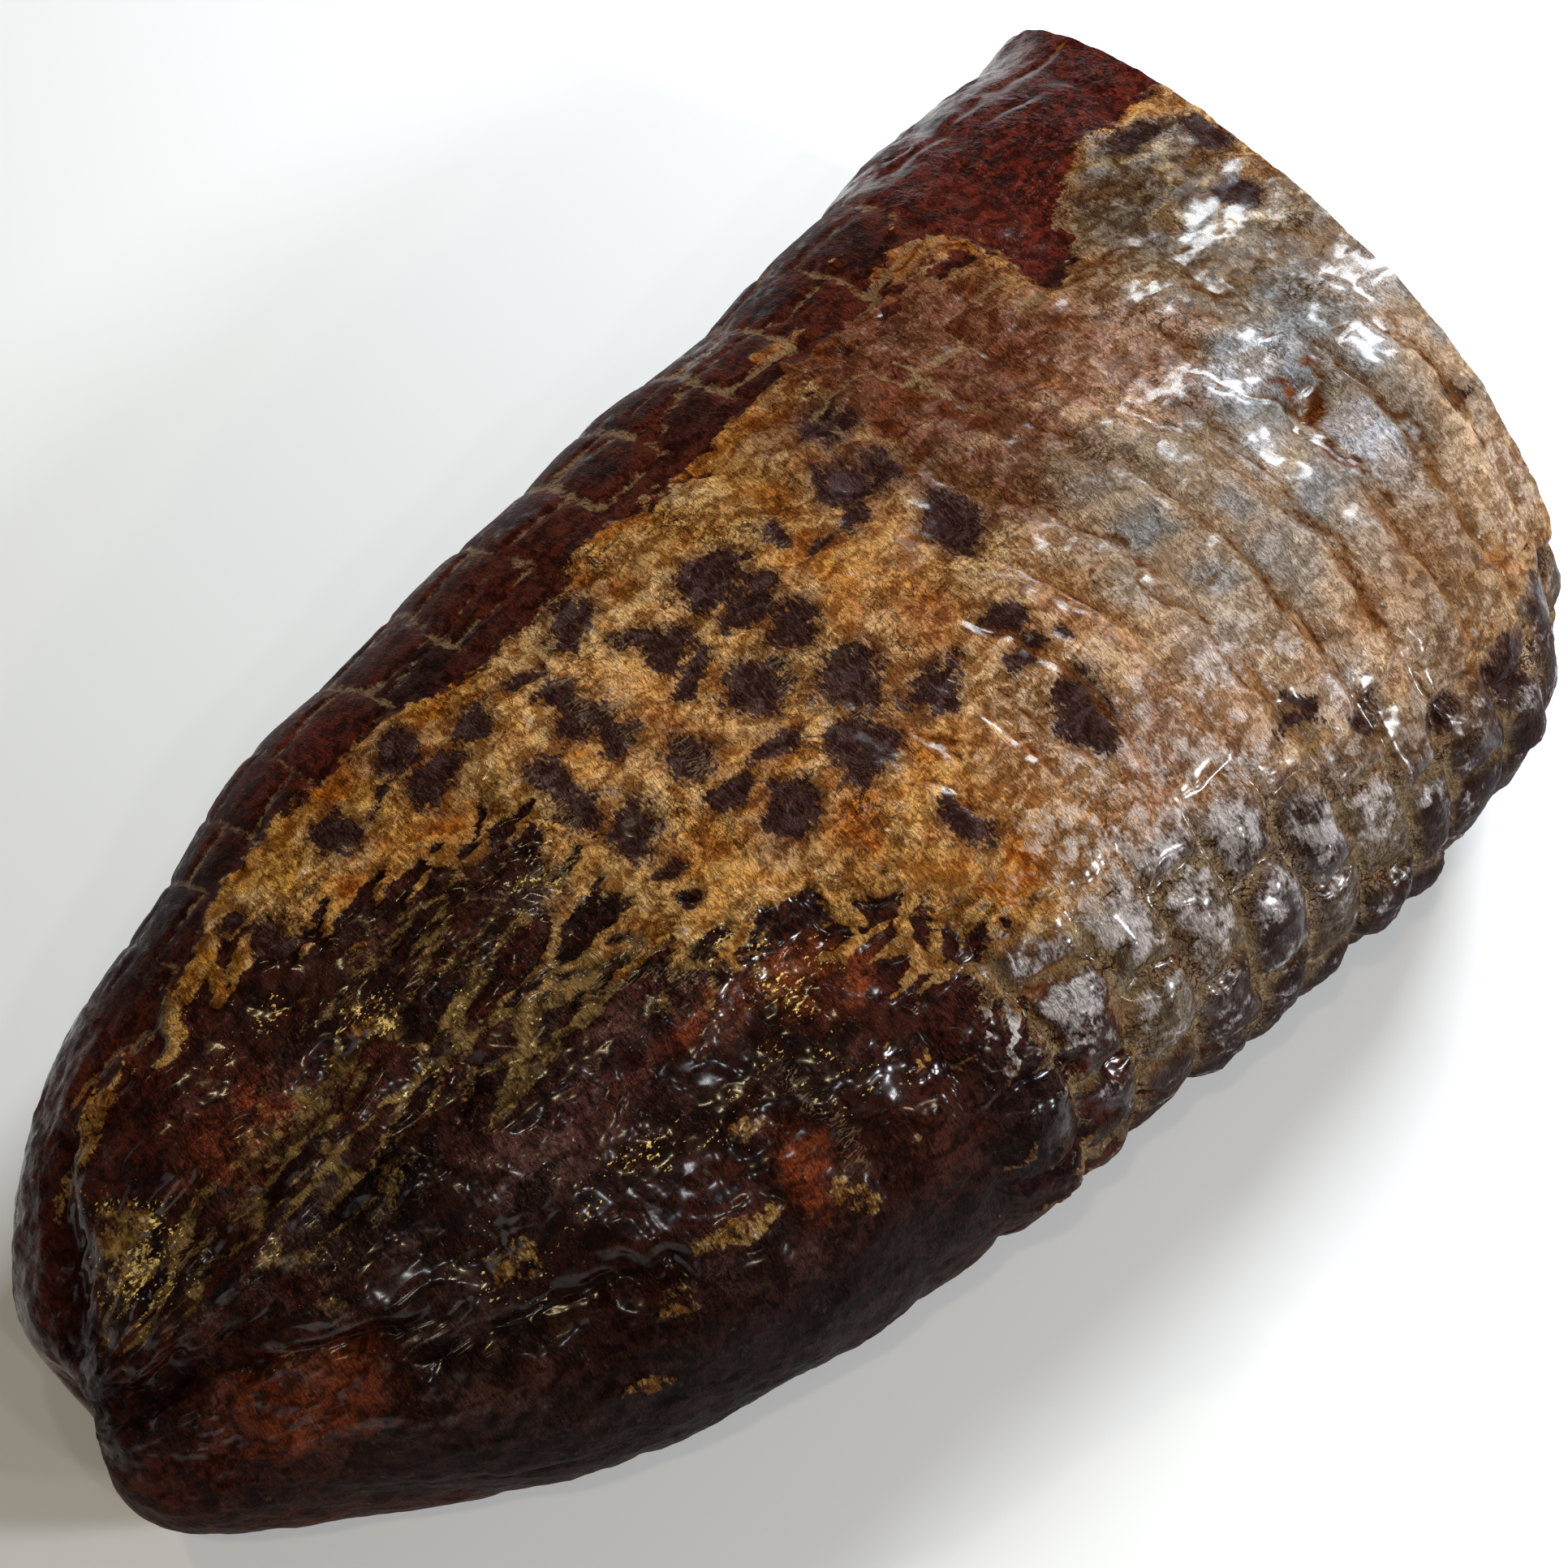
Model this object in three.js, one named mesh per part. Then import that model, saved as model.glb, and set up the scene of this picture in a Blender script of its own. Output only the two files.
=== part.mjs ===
import * as THREE from 'three';

// A large piece of cured, air-dried beef: one solid, tapered to a blunt two-lobed nose and cut
// straight across at its thick end. It dried in an elastic net, whose hoops left grooves round
// the piece and whose lengthwise threads split the bands between them into low pillows.
// Millimetres, +Z up. X runs along the piece from the nose to the cut, +Y is the bare lean
// side, -Y the fat side. Angles round a section start at +Y and turn over the top to -Y.

const DEGREE = Math.PI / 180;

// Sections along the piece: half widths to the lean and the fat side, height of the top,
// height of the core line, and how boxy each upper corner is, where 2 is an ellipse
const SECTIONS = [
  { x: -178, lean: 41, fat: 44, top: 60, core: 36, leanCorner: 2.4, fatCorner: 2.2 },
  { x: -150, lean: 53, fat: 48, top: 72, core: 38, leanCorner: 2.4, fatCorner: 2.2 },
  { x: -120, lean: 64, fat: 66, top: 80, core: 40, leanCorner: 2.4, fatCorner: 2.2 },
  { x: -80, lean: 77, fat: 84, top: 90, core: 43, leanCorner: 2.4, fatCorner: 2.2 },
  { x: -30, lean: 85, fat: 91, top: 98, core: 45, leanCorner: 2.5, fatCorner: 2.2 },
  { x: 20, lean: 89, fat: 94, top: 102, core: 46, leanCorner: 2.6, fatCorner: 2.2 },
  { x: 80, lean: 97, fat: 95, top: 102, core: 46, leanCorner: 2.6, fatCorner: 2.1 },
  { x: 130, lean: 107, fat: 91, top: 97, core: 46, leanCorner: 2.6, fatCorner: 1.9 },
  { x: 165, lean: 112, fat: 71, top: 94, core: 44, leanCorner: 2.6, fatCorner: 1.8 },
];

// The underside sags a little below its table, which presses it flat
const UNDER_SAG = 1.1;
const UNDER_CORNER = 2.6;

// Nose: a dome this long in front of its last full section, with two lobes and a notch
const NOSE_X = -120;
const NOSE_LENGTH = 56;
const NOSE_CORNER = 2.4;
const LOBE_SPREAD = 0.7;
const LOBES = [
  { y: 36, z: 34, radius: 30, out: 3 },
  { y: -32, z: 28, radius: 26, out: 9 },
  { y: 2, z: 34, radius: 10, out: -8 },
];

// Cut: a plane across the thick end, further out on the lean side
const CUT_X = 163;
const CUT_SKEW = 0.09;

// Net: where each hoop lay on the fat side's wall. Over the top each slants towards the nose,
// by most where the piece is widest, and reaches its full slant on the lean side.
const HOOPS = [-104, -84, -64, -45, -26, -6, 10, 26, 42, 57, 72, 88, 103, 121, 138, 155];
const SLANTS = [
  { x: -176, slant: 0 },
  { x: -80, slant: 32 },
  { x: -20, slant: 48 },
  { x: 50, slant: 38 },
  { x: 121, slant: 24 },
  { x: 163, slant: 0 },
];
const SLANT_STARTS = 135;
const SLANT_FULL = 30;
const SLANT_ENDS = -90;
const CELLS_ROUND = 27;

// How deep the net bit: a little all over, more on the fat side's wall, on the thick fat cap
// and on the lean edge. Each bite is around an angle, and sets in between two places.
const NET_DEPTH = 0.6;
const NET_BITES = [
  { angle: 165, width: 42, starts: -60, full: 0, depth: 2 },
  { angle: 115, width: 60, starts: 40, full: 110, depth: 1.1 },
  { angle: 25, width: 50, starts: -160, full: -120, depth: 0.9 },
];
const GROOVE_SHARE = 0.6;
const CELL_SHARE = 0.25;
const PILLOW_SHAPE = 0.7;

// The bare meat towards the nose shrank into crags
const CRAG_HEIGHT = 1.1;
const SWELL_HEIGHT = 0.8;

// Grid: rows in each band between two hoops, rows on the nose, and columns in a net cell
const ROWS_IN_BAND = 4;
const NOSE_ROWS = 9;
const FINE_COLUMNS = 3;
const FINE_CELLS = 18;
const FINE_START = -40 * DEGREE;

// Single dents and lumps: place along and round, half lengths in mm and degrees, and height
const LUMPS = [
  { x: 120, angle: 117, along: 8, round: 5, height: -4 },
  { x: 110, angle: 50, along: 9, round: 9, height: -3 },
  { x: 38, angle: 68, along: 8, round: 5, height: -2 },
  { x: 46, angle: 87, along: 8, round: 7, height: -1.5 },
  { x: -40, angle: 132, along: 20, round: 5, height: -3.5 },
  { x: -16, angle: 164, along: 9, round: 10, height: 2.5 },
  { x: -42, angle: 148, along: 9, round: 6, height: 2.5 },
  { x: -108, angle: 138, along: 12, round: 8, height: -2 },
  { x: -60, angle: 112, along: 16, round: 7, height: -2 },
  { x: -160, angle: 124, along: 18, round: 7, height: -4 },
];

function step(low, high, value) {
  const t = Math.min(1, Math.max(0, (value - low) / (high - low)));
  return t * t * (3 - 2 * t);
}

// 1 at the given angle, falling smoothly to 0 at its width on both sides
function near(angle, centre, width) {
  const turn = angle / DEGREE - centre;
  const away = Math.abs(turn - 360 * Math.round(turn / 360));
  return 1 - step(0, width, away);
}

// The values at any x, on a smooth curve through the stated ones
function valuesAt(stations, x) {
  let i = 0;
  while (i < stations.length - 2 && x > stations[i + 1].x) {
    i += 1;
  }
  const from = stations[i];
  const to = stations[i + 1];
  const before = stations[Math.max(0, i - 1)];
  const after = stations[Math.min(stations.length - 1, i + 2)];
  const length = to.x - from.x;
  const t = Math.min(1, Math.max(0, (x - from.x) / length));
  const values = {};
  for (const name of Object.keys(from)) {
    const leaving = length * (to[name] - before[name]) / (to.x - before.x);
    const arriving = length * (after[name] - from[name]) / (after.x - from.x);
    values[name] = (2 * t ** 3 - 3 * t ** 2 + 1) * from[name]
      + (t ** 3 - 2 * t ** 2 + t) * leaving
      + (3 * t ** 2 - 2 * t ** 3) * to[name]
      + (t ** 3 - t ** 2) * arriving;
  }
  return values;
}

// Distance from the core line to the smooth form's outline at an angle
function outlineRadius(section, angle) {
  const y = Math.cos(angle);
  const z = Math.sin(angle);
  const half = y > 0 ? section.lean : section.fat;
  const rise = z > 0 ? section.top - section.core : section.core * UNDER_SAG;
  let corner = UNDER_CORNER;
  if (z > 0) {
    corner = y > 0 ? section.leanCorner : section.fatCorner;
  }
  return (Math.abs(y / half) ** corner + Math.abs(z / rise) ** corner) ** (-1 / corner);
}

// How much of its slant a hoop has at an angle: none on the fat wall and underneath
function slantShare(angle) {
  const turn = angle / DEGREE;
  const degrees = turn > 270 ? turn - 360 : turn;
  const overTop = 1 - step(SLANT_FULL, SLANT_STARTS, degrees);
  return overTop * step(SLANT_ENDS, 0, degrees);
}

function netDepth(x, angle) {
  let depth = NET_DEPTH;
  for (const bite of NET_BITES) {
    depth += bite.depth * near(angle, bite.angle, bite.width) * step(bite.starts, bite.full, x);
  }
  const uneven = 1 + 0.35 * Math.sin(x / 17 + 3 * angle) * Math.sin(x / 29 - 2 * angle);
  return depth * uneven * step(-160, -120, x);
}

// Long low swells all over, and short crags along the bare meat towards the nose
function unevenness(x, angle) {
  const swell = Math.sin(x / 14 + 2 * angle) * Math.sin(3 * angle + 1)
    + 0.8 * Math.sin(x / 8 - 5 * angle);
  const crags = Math.sin(x / 15 + 12 * angle + 2 * Math.sin(3 * angle + x / 25))
    + 0.7 * Math.sin(x / 7 - 7 * angle + 1.5 * Math.sin(x / 17))
    + 0.6 * Math.sin(x / 21 - 18 * angle);
  const bare = near(angle, 120, 75) * (1 - step(-60, 0, x)) * step(-170, -130, x);
  return SWELL_HEIGHT * swell + CRAG_HEIGHT * crags * bare;
}

function lumpHeight(x, angle) {
  let height = 0;
  for (const lump of LUMPS) {
    const along = (x - lump.x) / lump.along;
    const round = (angle / DEGREE - lump.angle) / lump.round;
    height += lump.height * Math.exp(-(along ** 2) - round ** 2);
  }
  return height;
}

// Relief over the smooth form, at a row's place in the net: its band and how far across it
function relief(row, x, angle) {
  const pillow = Math.abs(Math.sin(Math.PI * row.across)) ** PILLOW_SHAPE;
  const cells = near(angle, 80, 110) * Math.cos(CELLS_ROUND * angle + Math.PI * row.band);
  const net = pillow - GROOVE_SHARE + CELL_SHARE * pillow * cells;
  return netDepth(x, angle) * net + unevenness(x, angle) + lumpHeight(x, angle);
}

// Rows from the nose's tip to the cut, at their places on the fat side's wall
function gridRows() {
  const rows = [];
  for (let i = 1; i < NOSE_ROWS; i += 1) {
    const back = Math.cos(0.5 * Math.PI * i / NOSE_ROWS) ** (2 / NOSE_CORNER);
    rows.push({ x: NOSE_X - NOSE_LENGTH * back, band: 0, across: 0.5 });
  }
  const edges = [NOSE_X, ...HOOPS, CUT_X];
  for (let band = 0; band < edges.length - 1; band += 1) {
    for (let i = 0; i < ROWS_IN_BAND; i += 1) {
      const across = i / ROWS_IN_BAND;
      const x = edges[band] + (edges[band + 1] - edges[band]) * across;
      rows.push({ x, band, across: band === 0 ? 0.5 : across });
    }
  }
  rows.push({ x: CUT_X, band: edges.length, across: 0.3 });
  return rows;
}

// Columns round the piece: fine over the top and both walls, one to a net cell underneath
function gridAngles() {
  const cell = 2 * Math.PI / CELLS_ROUND;
  const angles = [];
  for (let i = 0; i < FINE_CELLS * FINE_COLUMNS; i += 1) {
    angles.push(FINE_START + cell * i / FINE_COLUMNS);
  }
  for (let i = FINE_CELLS; i < CELLS_ROUND; i += 1) {
    angles.push(FINE_START + cell * i);
  }
  return angles;
}

function surfacePoint(row, angle) {
  const hoopX = row.x - valuesAt(SLANTS, row.x).slant * slantShare(angle);
  const section = valuesAt(SECTIONS, hoopX);
  const back = Math.max(0, (NOSE_X - hoopX) / NOSE_LENGTH);
  const dome = Math.max(0, 1 - back ** NOSE_CORNER) ** (1 / NOSE_CORNER);
  const radius = dome * (outlineRadius(section, angle) + dome * relief(row, hoopX, angle));
  const y = radius * Math.cos(angle);
  const z = section.core + radius * Math.sin(angle);
  let x = hoopX;
  for (const lobe of LOBES) {
    const away = ((y - lobe.y) ** 2 + (z - lobe.z) ** 2) / lobe.radius ** 2;
    x -= back ** LOBE_SPREAD * lobe.out * Math.exp(-away);
  }
  const toCut = Math.max(0, (hoopX - NOSE_X) / (CUT_X - NOSE_X));
  x += CUT_SKEW * y * toCut ** 2;
  return new THREE.Vector3(x, y, Math.max(0, z));
}

// One closed skin: a tip, the rows joined by quads, and a fan over the cut
function cecinaGeometry() {
  const rows = gridRows();
  const angles = gridAngles();
  const columns = angles.length;
  const points = [surfacePoint({ ...rows[0], x: NOSE_X - NOSE_LENGTH }, 0)];
  for (const row of rows) {
    for (const angle of angles) {
      points.push(surfacePoint(row, angle));
    }
  }
  const rim = points.slice(-columns);
  const cutCentre = new THREE.Vector3();
  for (const point of rim) {
    cutCentre.addScaledVector(point, 1 / columns);
  }
  points.push(cutCentre);

  const faces = [];
  const at = (row, column) => 1 + row * columns + column % columns;
  for (let column = 0; column < columns; column += 1) {
    faces.push(0, at(0, column + 1), at(0, column));
    faces.push(points.length - 1, at(rows.length - 1, column), at(rows.length - 1, column + 1));
    for (let row = 0; row < rows.length - 1; row += 1) {
      const corners = [at(row, column), at(row, column + 1), at(row + 1, column + 1), at(row + 1, column)];
      faces.push(corners[0], corners[1], corners[2], corners[0], corners[2], corners[3]);
    }
  }
  const geometry = new THREE.BufferGeometry();
  geometry.setAttribute('position', new THREE.Float32BufferAttribute(
    points.flatMap((point) => point.toArray()), 3));
  geometry.setIndex(faces);

  // The origin is under the middle of the piece, on the table
  geometry.computeBoundingBox();
  const box = geometry.boundingBox;
  geometry.translate(-(box.min.x + box.max.x) / 2, -(box.min.y + box.max.y) / 2, -box.min.z);
  geometry.computeVertexNormals();
  return geometry;
}

// Dried meat and fat with a faint oily shine
const curedBeef = new THREE.MeshStandardMaterial({
  color: 0x5c4130,
  roughness: 0.45,
  metalness: 0,
});

const cecina = new THREE.Mesh(cecinaGeometry(), curedBeef);
cecina.name = 'cecina';

const group = new THREE.Group();
group.add(cecina);

export default group;
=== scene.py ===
import math

import bpy
import numpy as np
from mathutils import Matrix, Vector, noise


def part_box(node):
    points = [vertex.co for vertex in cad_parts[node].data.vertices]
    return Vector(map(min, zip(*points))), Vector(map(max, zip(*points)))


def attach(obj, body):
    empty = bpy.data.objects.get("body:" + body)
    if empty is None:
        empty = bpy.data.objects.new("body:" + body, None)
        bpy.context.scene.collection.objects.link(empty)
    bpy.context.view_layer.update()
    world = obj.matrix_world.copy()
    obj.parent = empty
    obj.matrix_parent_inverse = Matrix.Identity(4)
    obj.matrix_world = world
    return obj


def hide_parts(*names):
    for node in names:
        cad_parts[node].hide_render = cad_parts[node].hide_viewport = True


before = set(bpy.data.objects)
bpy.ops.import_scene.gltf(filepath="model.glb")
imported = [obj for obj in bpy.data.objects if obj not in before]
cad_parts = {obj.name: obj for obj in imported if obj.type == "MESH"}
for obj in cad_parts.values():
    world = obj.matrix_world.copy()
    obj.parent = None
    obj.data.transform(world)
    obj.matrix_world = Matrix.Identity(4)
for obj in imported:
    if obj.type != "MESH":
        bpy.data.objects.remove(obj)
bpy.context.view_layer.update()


# The skin is the outside of one whole muscle of beef with its cover of fat. It was salted, smoked
# and air-dried in an elastic net, and it shrank round its own fibres into this form. Lengths are
# in millimetres; angles round the piece start at the lean side (+Y) and turn over the top.

MM = 0.001
DEGREE = math.pi / 180

# Place along, half widths to the lean and the fat side, height of the top, height of the core
# line, and how boxy the upper corners are on the lean and the fat side, where 2 is an ellipse
SECTIONS = [
    (-178, 41, 44, 60, 36, 2.4, 2.2),
    (-150, 53, 48, 72, 38, 2.4, 2.2),
    (-120, 64, 66, 80, 40, 2.4, 2.2),
    (-80, 77, 84, 90, 43, 2.4, 2.2),
    (-30, 85, 91, 98, 45, 2.5, 2.2),
    (20, 89, 94, 102, 46, 2.6, 2.2),
    (80, 97, 95, 102, 46, 2.6, 2.1),
    (130, 107, 91, 97, 46, 2.6, 1.9),
    (165, 112, 71, 94, 44, 2.6, 1.8),
]
UNDER_SAG = 1.1
UNDER_CORNER = 2.6

NOSE_X = -120
NOSE_LENGTH = 56
NOSE_CORNER = 2.4
LOBE_SPREAD = 0.7
LOBES = [(36, 34, 30, 3), (-32, 28, 26, 9), (2, 34, 10, -8)]

CUT_X = 163
CUT_SKEW = 0.09

# Where each hoop of the net lay on the fat side's wall, and how far it slants towards the nose
# on its way over the top
HOOPS = [-104, -84, -64, -45, -26, -6, 10, 26, 42, 57, 72, 88, 103, 121, 138, 155]
SLANTS = [(-176, 0), (-80, 32), (-20, 48), (50, 38), (121, 24), (163, 0)]
SLANT_STARTS = 135
SLANT_FULL = 30
SLANT_ENDS = -90
CELLS_ROUND = 27

# How deep the net bit: angle, width, where it sets in and is full, and depth
NET_DEPTH = 0.6
NET_BITES = [(168, 44, -60, 0, 2.2), (115, 60, 40, 110, 0.4), (25, 50, -160, -120, 0.6)]
GROOVE_SHARE = 0.6
GROOVE_WIDTH = 2.6
CRAG_HEIGHT = 1.1
SWELL_HEIGHT = 0.8

# Single dents and lumps: place along and round, half lengths along and round, and height
LUMPS = [
    (122, 117, 8, 5, -4), (110, 50, 9, 9, -3), (38, 68, 8, 5, -2), (46, 87, 8, 7, -1.5),
    (-40, 132, 20, 5, -3.5), (-16, 164, 9, 10, 2.5), (-42, 148, 9, 6, 2.5), (-108, 138, 12, 8, -2),
    (-60, 112, 16, 7, -2), (-160, 124, 18, 7, -4),
]

# Spacing of the rows along the piece and of the columns round it, which may be wider underneath
ROW_GAP = 1.12
NOSE_ROWS = 58
COLUMNS = 306
UNDER_SPACING = 3.6


def step(low, high, value):
    """Rises smoothly from 0 at the low value to 1 at the high one, which may be the smaller."""
    share = np.clip((value - low) / (high - low), 0, 1)
    return share * share * (3 - 2 * share)


def near(turn, centre, width):
    """1 at the centre angle, falling smoothly to 0 at the given width on both sides."""
    away = np.abs((turn - centre + 180) % 360 - 180)
    return step(width, 0, away)


def smooth_curve(stations, place):
    """The values at any place along, on a smooth curve through the stated ones."""
    stations = np.array(stations, float)
    at = stations[:, 0]
    before = np.maximum(np.arange(len(at)) - 1, 0)
    after = np.minimum(np.arange(len(at)) + 1, len(at) - 1)
    slopes = (stations[after] - stations[before]) / (at[after] - at[before])[:, None]
    start = np.clip(np.searchsorted(at, place) - 1, 0, len(at) - 2)
    length = (at[start + 1] - at[start])[..., None]
    t = np.clip((place - at[start])[..., None] / length, 0, 1)
    values = (
        (2 * t**3 - 3 * t**2 + 1) * stations[start]
        + (t**3 - 2 * t**2 + t) * length * slopes[start]
        + (3 * t**2 - 2 * t**3) * stations[start + 1]
        + (t**3 - t**2) * length * slopes[start + 1]
    )
    return np.moveaxis(values, -1, 0)[1:]


def outline_radius(x, angle):
    lean, fat, top, core, lean_corner, fat_corner = smooth_curve(SECTIONS, x)
    y = np.cos(angle)
    z = np.sin(angle)
    half = np.where(y > 0, lean, fat)
    rise = np.where(z > 0, top - core, core * UNDER_SAG)
    corner = np.where(y > 0, lean_corner, fat_corner)
    corner = np.where(z > 0, corner, UNDER_CORNER)
    return (np.abs(y / half) ** corner + np.abs(z / rise) ** corner) ** (-1 / corner), core


def swell_relief(x, turn):
    angle = turn * DEGREE
    swell = np.sin(x / 14 + 2 * angle) * np.sin(3 * angle + 1) + 0.8 * np.sin(x / 8 - 5 * angle)
    crags = (
        np.sin(x / 15 + 12 * angle + 2 * np.sin(3 * angle + x / 25))
        + 0.7 * np.sin(x / 7 - 7 * angle + 1.5 * np.sin(x / 17))
        + 0.6 * np.sin(x / 21 - 18 * angle)
    )
    bare = near(turn, 120, 75) * step(0, -60, x) * step(-170, -130, x)
    height = SWELL_HEIGHT * swell + CRAG_HEIGHT * crags * bare
    for lump_x, lump_turn, along, around, lump in LUMPS:
        away = ((x - lump_x) / along) ** 2 + ((turn - lump_turn) / around) ** 2
        height = height + lump * np.exp(-away)
    return height


def nose_dome(x):
    """How far into the nose each place is, and the share of the full outline that is left there."""
    back = np.maximum(0, (NOSE_X - x) / NOSE_LENGTH)
    return back, np.maximum(0, 1 - back**NOSE_CORNER) ** (1 / NOSE_CORNER)


def skin_points(x, turn, relief):
    """Points of the skin where the hoops lie at x, at these angles, with relief on the form."""
    angle = turn * DEGREE
    back, dome = nose_dome(x)
    outline, core = outline_radius(x, angle)
    radius = dome * (outline + dome * relief)
    y = radius * np.cos(angle)
    z = core + radius * np.sin(angle)
    out_x = x.copy()
    for lobe_y, lobe_z, lobe_radius, out in LOBES:
        away = ((y - lobe_y) ** 2 + (z - lobe_z) ** 2) / lobe_radius**2
        out_x -= back**LOBE_SPREAD * out * np.exp(-away)
    to_cut = np.maximum(0, (x - NOSE_X) / (CUT_X - NOSE_X))
    out_x += CUT_SKEW * y * to_cut**2
    return np.stack([out_x, y, np.maximum(0, z)], axis=-1)


def row_places():
    nose = [
        NOSE_X - NOSE_LENGTH * math.cos(0.5 * math.pi * i / NOSE_ROWS) ** (2 / NOSE_CORNER)
        for i in range(1, NOSE_ROWS)
    ]
    edges = [NOSE_X, *HOOPS, CUT_X]
    body = []
    for start, end in zip(edges[:-1], edges[1:]):
        count = round((end - start) / ROW_GAP)
        body += [start + (end - start) * i / count for i in range(count)]
    return np.array(nose + body + [CUT_X])


def column_turns():
    """Angles that stand evenly round a middle section, and wider apart underneath."""
    turn = np.linspace(-90, 270, 3601)
    radius, core = outline_radius(np.full(turn.shape, 20.0), turn * DEGREE)
    y = radius * np.cos(turn * DEGREE)
    z = radius * np.sin(turn * DEGREE)
    spacing = 1 + (UNDER_SPACING - 1) * (1 - step(-60, -15, turn) * step(240, 195, turn))
    weight = np.hypot(np.diff(y), np.diff(z)) / spacing[1:]
    walked = np.concatenate([[0], np.cumsum(weight)])
    return np.interp(np.arange(COLUMNS) / COLUMNS * walked[-1], walked, turn)


rows = row_places()
turn, places = np.meshgrid(column_turns(), rows)
slant, = smooth_curve(SLANTS, places)
x = places - slant * step(SLANT_STARTS, SLANT_FULL, turn) * step(SLANT_ENDS, 0, turn)

form = skin_points(x, turn, swell_relief(x, turn))


def wander(size, seed, stretch=1.0, octaves=3):
    """Smooth random values of about -1 to 1 at the skin's points, with lumps of a given size."""
    scaled = form / (size * np.array([stretch, 1, 1]))
    shift = Vector((31.7 * seed, 17.3 * seed, 47.1 * seed))
    values = [
        noise.fractal(Vector(point) + shift, 1.0, 2.0, octaves)
        for point in scaled.reshape(-1, 3).tolist()
    ]
    return np.array(values).reshape(x.shape)


# How many millimetres one degree spans at each point
round_mm = np.linalg.norm(np.gradient(form, axis=1), axis=2) / np.gradient(turn, axis=1)

# The hoops lay a little astray. Threads ran between them, half a cell on from row to row, and
# the meat swelled unevenly through the cells
astray_place = places + 1.8 * wander(15, 7)
band = np.searchsorted(HOOPS, astray_place)
hoop_gap = np.min(np.abs(astray_place[..., None] - HOOPS), axis=-1)
cells_on = CELLS_ROUND * (turn + 1.5 * wander(13, 20)) / 360 + band / 2 + 0.5
thread_gap = np.minimum(cells_on % 1, 1 - cells_on % 1) * 360 / CELLS_ROUND * round_mm
WALL_STARTS = [(-30, 146), (50, 149), (75, 158), (100, 163), (165, 165)]
wall_start = np.interp(x, *zip(*WALL_STARTS))
cell_number = np.floor(cells_on).astype(int) % CELLS_ROUND


def cell_values(seed, least, most):
    """One random value for each cell of the net, at every point of the skin."""
    values = np.random.default_rng(seed).uniform(least, most, (len(HOOPS) + 1, CELLS_ROUND))
    return values[band, cell_number]


cell_swell = cell_values(5, 0.6, 1.35)
cell_shade = cell_values(6, 0, 1)
on_wall = step(-16, -4, turn - wall_start) * step(240, 215, turn) * step(-40, -10, x)
on_lean = step(50, 38, turn) * step(102, 96, x) * step(-150, -120, x)
thread_share = np.maximum(0.12, np.maximum(on_wall, 0.5 * on_lean))
cell_gap = np.minimum(hoop_gap, thread_gap / thread_share)
swollen = cell_swell * (1 - np.exp(-cell_gap / GROOVE_WIDTH)) - GROOVE_SHARE
uneven_net = np.clip(1 + 0.8 * wander(26, 8), 0.4, 1.6) * (1 - 0.75 * on_lean)
net_depth = NET_DEPTH + sum(
    depth * near(turn, centre, width) * step(starts, full, x)
    for centre, width, starts, full, depth in NET_BITES
)
net_relief = uneven_net * (net_depth * step(-160, -120, x)) * swollen
coarse = skin_points(x, turn, net_relief + swell_relief(x, turn))

# The same places a little astray, so that no edge drawn by them is even
astray_x = x + 3.5 * wander(11, 1) + 1.2 * wander(3, 2, octaves=2)
astray_turn = turn + (3.5 * wander(11, 3) + 1.2 * wander(3, 4, octaves=2)) / np.maximum(round_mm, 0.3)


def away_from(spot_x, spot_turn, half_length, half_turn):
    """How far each point is from the middle of a spot, where the spot's edge is at 1."""
    return np.hypot((astray_x - spot_x) / half_length, (astray_turn - spot_turn) / half_turn)


def patch(*spot, soft=0.35):
    """A blotch: 1 inside, fading to 0 round its edge."""
    return step(1 + soft, 1 - soft, away_from(*spot))


def patches(spots):
    return np.max([patch(*spot) for spot in spots], axis=0)


def falling(gap, reach):
    """1 where there is no gap, falling evenly to 0 at a reach."""
    return np.clip(1 - gap / reach, 0, 1)


def line_gap(lines):
    """Distance in mm from the nearest of some lines, each given by a few places it runs through."""
    gap = np.full(x.shape, 99.0)
    for line in lines:
        for (x1, turn1), (x2, turn2) in zip(line[:-1], line[1:]):
            from_x = astray_x - x1
            from_turn = (astray_turn - turn1) * round_mm
            run_x = x2 - x1
            run_turn = (turn2 - turn1) * round_mm
            share = (from_x * run_x + from_turn * run_turn) / (run_x**2 + run_turn**2)
            share = np.clip(share, 0, 1)
            gap = np.minimum(gap, np.hypot(from_x - share * run_x, from_turn - share * run_turn))
    return gap


# The bare meat dried in long bundles that lie side by side, tilted a little from the piece's axis
BUNDLE_TILT = -18 * DEGREE
BUNDLE_LENGTH = 17
BUNDLE_WIDTH = 7.5
MEAN_RADIUS = 66
SEAM_REACH = 0.34


def bundles(seed):
    """How far each point is from the border of its bundle, and a value for each bundle."""
    over = (turn - 110) * DEGREE * MEAN_RADIUS
    lengthwise = x * math.cos(BUNDLE_TILT) + over * math.sin(BUNDLE_TILT)
    crosswise = over * math.cos(BUNDLE_TILT) - x * math.sin(BUNDLE_TILT)
    scaled = np.stack(
        [
            lengthwise / BUNDLE_LENGTH + 0.35 * wander(14, seed),
            crosswise / BUNDLE_WIDTH + 0.45 * wander(12, seed + 1),
            0.25 * wander(30, seed + 2),
        ],
        axis=-1,
    )
    found = []
    for point in scaled.reshape(-1, 3).tolist():
        distances, centres = noise.voronoi(point)
        shade = (7.31 * centres[0].x + 3.77 * centres[0].y + 5.13 * centres[0].z) % 1
        found.append((distances[1] - distances[0], shade))
    return np.array(found).T.reshape(2, *x.shape)


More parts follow.
